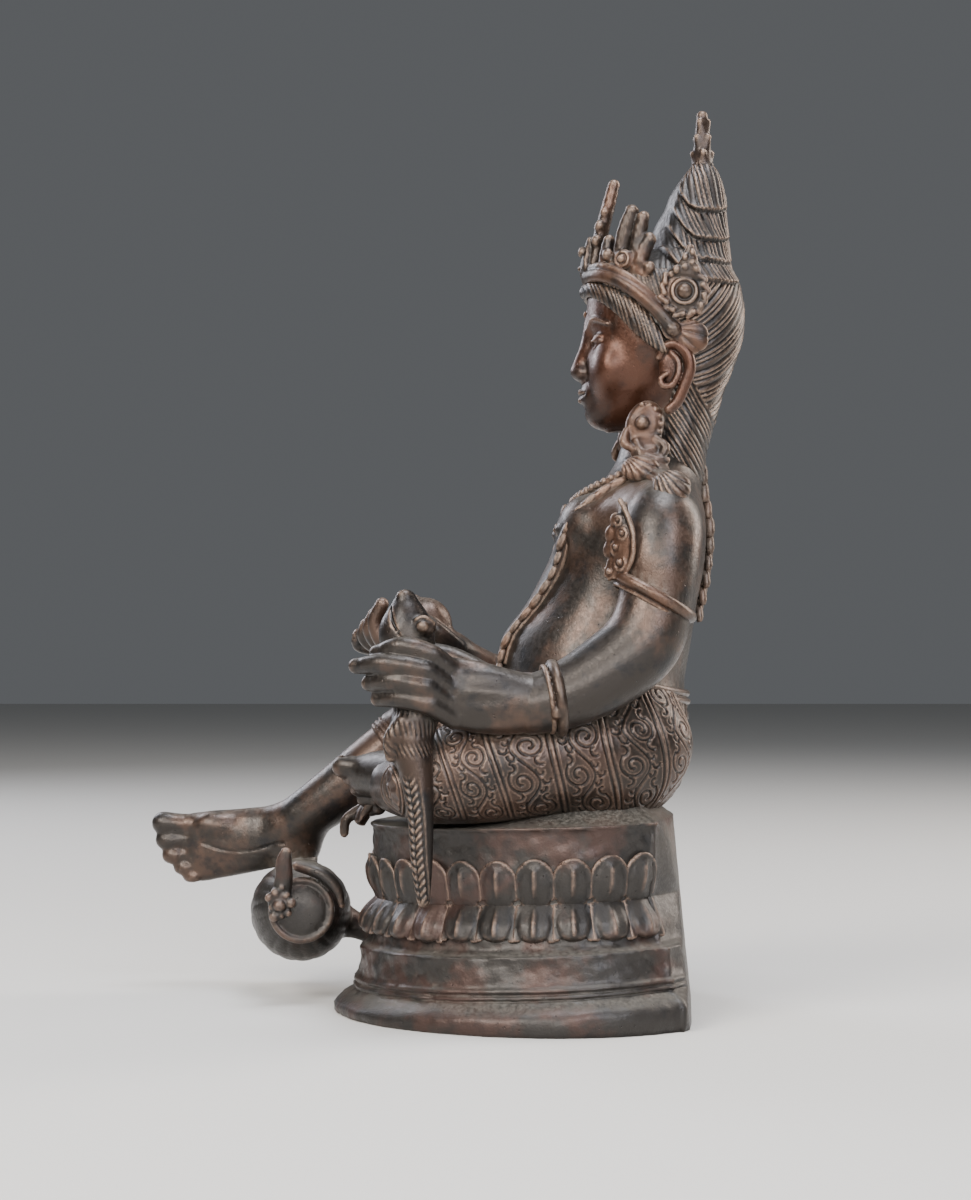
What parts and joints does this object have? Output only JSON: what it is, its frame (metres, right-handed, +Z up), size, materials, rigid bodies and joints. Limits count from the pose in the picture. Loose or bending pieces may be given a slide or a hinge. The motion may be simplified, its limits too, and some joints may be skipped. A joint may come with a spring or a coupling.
{
  "type": "seated deity statue",
  "caption": "Cast bronze seated wealth deity with a mongoose on a lotus plinth, one foot resting on a vase; stands on its own base as a shelf or altar figure.",
  "frame": {"origin": "on the flat underside of the plinth, below the middle of the figure's width and just in front of its seat", "axes": "+Z up, -Y the way the figure faces, +X the figure's left side"},
  "size_m": [0.1026, 0.1452, 0.2118],
  "materials": {
    "patinated_bronze": "dark brown patinated cast bronze, rubbed red-brown on the high places, grey dust in the hollows"
  },
  "bodies": {
    "root": {"seated_deity_on_lotus_plinth": "patinated_bronze"}
  },
  "joints": []
}
